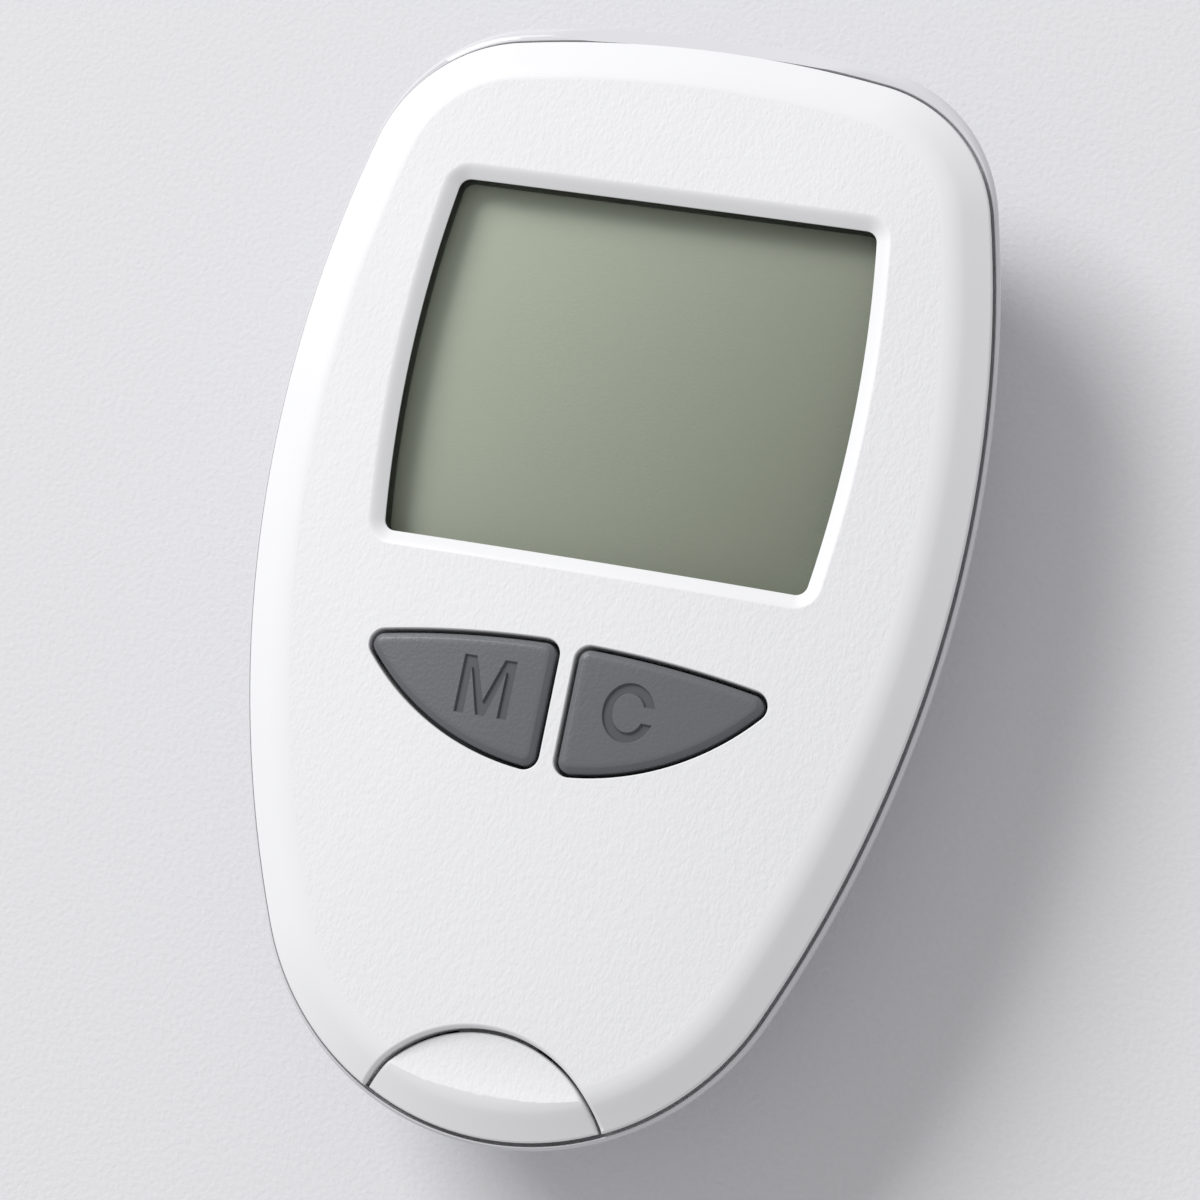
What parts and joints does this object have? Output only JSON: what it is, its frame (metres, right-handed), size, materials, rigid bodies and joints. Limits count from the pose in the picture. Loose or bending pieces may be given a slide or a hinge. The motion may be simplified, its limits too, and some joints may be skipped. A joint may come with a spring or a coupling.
{
  "type": "blood glucose meter",
  "caption": "Handheld blood glucose meter with recessed display, two sprung keys, strip port with ejector and a sliding battery door.",
  "frame": {"origin": "on the table under the middle of the rear case, with the meter lying on its back", "axes": "+X to the right across the meter, +Y toward the test strip port, +Z out of the display"},
  "size_m": [0.0612, 0.0959, 0.0199],
  "materials": {
    "cover_white": "fine textured face with a glossy bevel",
    "case_white": "smooth moulded",
    "key_grey": "satin",
    "window_clear": "clear anti-glare",
    "lcd_film": "fine grain",
    "lcd_glass": "clear",
    "foil": "satin",
    "holder_grey": "moulded",
    "elastomer": "matte",
    "board_green": "solder mask",
    "chip_black": "moulded epoxy",
    "can_metal": "satin",
    "connector_ivory": "moulded",
    "contact_gold": "plated",
    "spring_steel": "drawn wire",
    "cell_jacket": "satin jacket",
    "bar_white": "acetal",
    "screw_steel": "zinc plated"
  },
  "bodies": {
    "housing": {"rear_case": "case_white", "front_cover": "cover_white", "display_window": "window_clear", "lcd_polariser": "lcd_film", "lcd_glass": "lcd_glass", "lcd_reflector": "foil", "lcd_holder": "holder_grey", "zebra_strip": "elastomer", "circuit_board": "board_green", "processor": "chip_black", "memory_chip": "chip_black", "crystal": "can_metal", "buzzer": "chip_black", "strip_connector": "connector_ivory", "strip_contacts": "contact_gold", "memory_switch": "can_metal", "control_switch": "can_metal", "eject_springs": "spring_steel", "cell_left": "cell_jacket", "cell_right": "cell_jacket", "cell_springs": "spring_steel", "cell_plates": "can_metal", "case_screws": "screw_steel", "board_screws": "screw_steel"},
    "memory_button": {"memory_key": "key_grey", "memory_plunger": "chip_black"},
    "control_button": {"control_key": "key_grey", "control_plunger": "chip_black"},
    "ejector": {"eject_button": "cover_white"},
    "ejector_bar": {"eject_bar": "bar_white"},
    "door": {"battery_door": "case_white"}
  },
  "joints": [
    {"name": "memory_press", "type": "slide", "parent": "housing", "child": "memory_button", "axis": [0, 0, -1], "range_m": [0, 0.0004], "stiffness_N_per_m": 400, "springref_m": -0.001},
    {"name": "control_press", "type": "slide", "parent": "housing", "child": "control_button", "axis": [0, 0, -1], "range_m": [0, 0.0004], "stiffness_N_per_m": 400, "springref_m": -0.001},
    {"name": "eject_press", "type": "slide", "parent": "housing", "child": "ejector", "axis": [0, 0, -1], "range_m": [0, 0.0012], "stiffness_N_per_m": 400, "springref_m": -0.0015, "deforming": ["eject_springs"]},
    {"name": "eject_slide", "type": "slide", "parent": "housing", "child": "ejector_bar", "axis": [0, 1, 0], "range_m": [0, 0.0024]},
    {"name": "door_slide", "type": "slide", "parent": "housing", "child": "door", "axis": [0, -1, 0], "range_m": [0, 0.064]}
  ],
  "couplings": [
    {"joint": "eject_slide", "follows": "eject_press", "ratio": 2}
  ]
}
